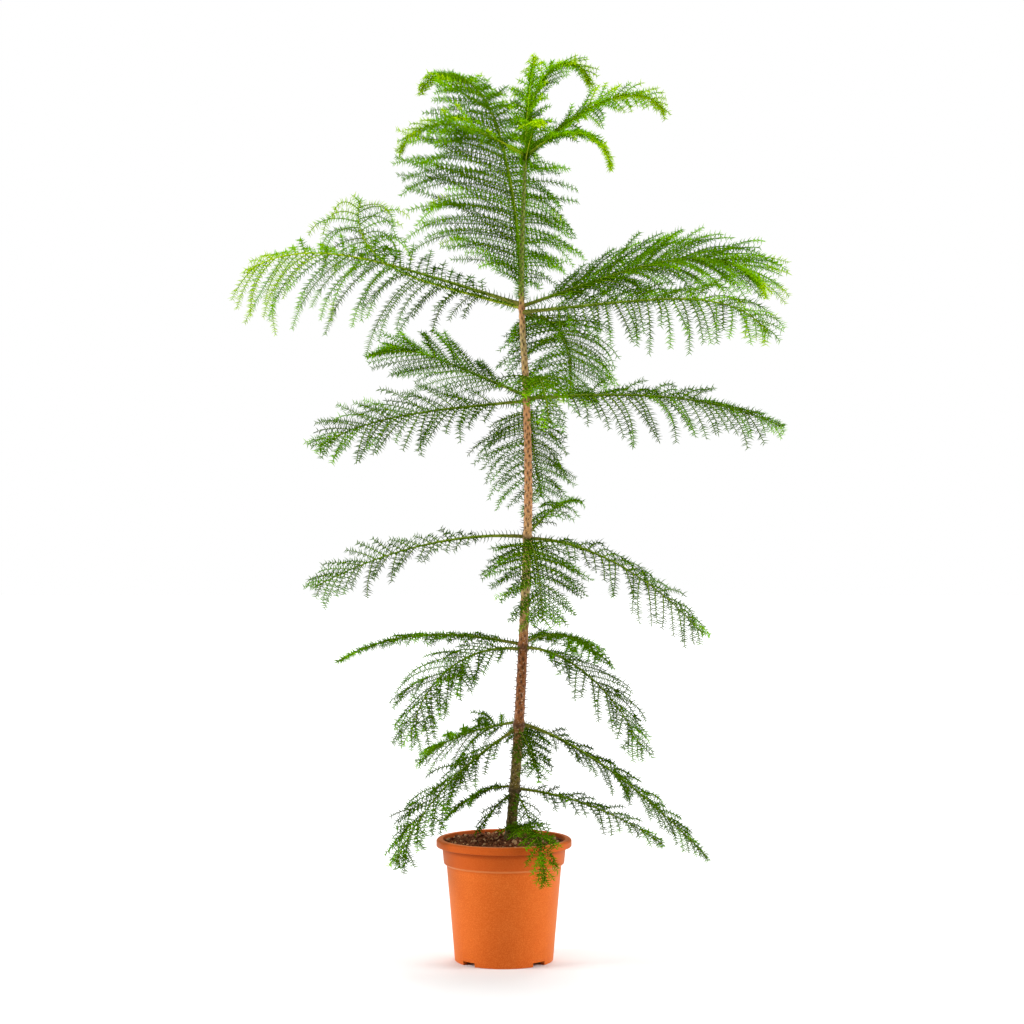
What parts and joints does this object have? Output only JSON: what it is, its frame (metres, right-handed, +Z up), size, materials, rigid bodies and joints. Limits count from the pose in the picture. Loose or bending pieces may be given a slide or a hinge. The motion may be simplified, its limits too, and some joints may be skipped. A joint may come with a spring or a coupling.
{
  "type": "potted norfolk island pine",
  "caption": "Young Norfolk Island pine with tiers of arching, needle-clad boughs on a slim trunk, growing in a round tapered orange nursery pot.",
  "frame": {"origin": "centre of the pot's underside, on the floor", "axes": "+Z up along the trunk, +X towards the right of the picture, -Y towards its viewer"},
  "size_m": [0.8589, 0.5334, 1.4205],
  "materials": {
    "pot": "matte orange, slightly mottled",
    "soil": "moist dark crumbs",
    "bark": "thin coppery bark with dark leaf scars",
    "bough": "smooth yellow-green young bark",
    "crown_leaf": "satin green needles",
    "tier6_leaf": "satin green needles",
    "tier5_leaf": "satin green needles",
    "tier4_leaf": "satin green needles",
    "tier3_leaf": "satin green needles",
    "tier2_leaf": "satin green needles",
    "tier1_leaf": "satin green needles",
    "basal_leaf": "satin green needles"
  },
  "bodies": {
    "root": {"pot": "pot", "soil": "soil", "trunk": "bark", "crown_right_foliage": "crown_leaf", "crown_right_front_foliage": "crown_leaf", "crown_top_right_foliage": "crown_leaf", "crown_top_foliage": "crown_leaf", "crown_left_foliage": "crown_leaf", "crown_front_foliage": "crown_leaf", "tier6_left_limb": "bough", "tier6_left_foliage": "tier6_leaf", "tier6_right_limb": "bough", "tier6_right_foliage": "tier6_leaf", "tier6_right_front_limb": "bough", "tier6_right_front_foliage": "tier6_leaf", "tier6_right_back_limb": "bough", "tier6_right_back_foliage": "tier6_leaf", "tier6_left_back_foliage": "tier6_leaf", "tier6_back_limb": "bough", "tier6_back_foliage": "tier6_leaf", "tier5_left_back_limb": "bough", "tier5_left_back_foliage": "tier5_leaf", "tier5_left_front_limb": "bough", "tier5_left_front_foliage": "tier5_leaf", "tier5_right_limb": "bough", "tier5_right_foliage": "tier5_leaf", "tier5_back_limb": "bough", "tier5_back_foliage": "tier5_leaf", "tier5_front_limb": "bough", "tier5_front_foliage": "tier5_leaf", "tier4_left_limb": "bough", "tier4_left_foliage": "tier4_leaf", "tier4_right_limb": "bough", "tier4_right_foliage": "tier4_leaf", "tier4_front_limb": "bough", "tier4_front_foliage": "tier4_leaf", "tier4_back_limb": "bough", "tier4_back_foliage": "tier4_leaf", "tier3_left_limb": "bough", "tier3_left_foliage": "tier3_leaf", "tier3_left_front_limb": "bough", "tier3_left_front_foliage": "tier3_leaf", "tier3_right_front_limb": "bough", "tier3_right_front_foliage": "tier3_leaf", "tier3_right_back_limb": "bough", "tier3_right_back_foliage": "tier3_leaf", "tier2_right_limb": "bough", "tier2_right_foliage": "tier2_leaf", "tier2_left_back_limb": "bough", "tier2_left_back_foliage": "tier2_leaf", "tier2_left_front_limb": "bough", "tier2_left_front_foliage": "tier2_leaf", "tier2_front_foliage": "tier2_leaf", "tier2_back_limb": "bough", "tier2_back_foliage": "tier2_leaf", "tier1_right_foliage": "tier1_leaf", "tier1_left_back_foliage": "tier1_leaf", "tier1_left_front_foliage": "tier1_leaf", "tier1_front_foliage": "tier1_leaf", "basal_front_foliage": "basal_leaf"}
  },
  "joints": []
}
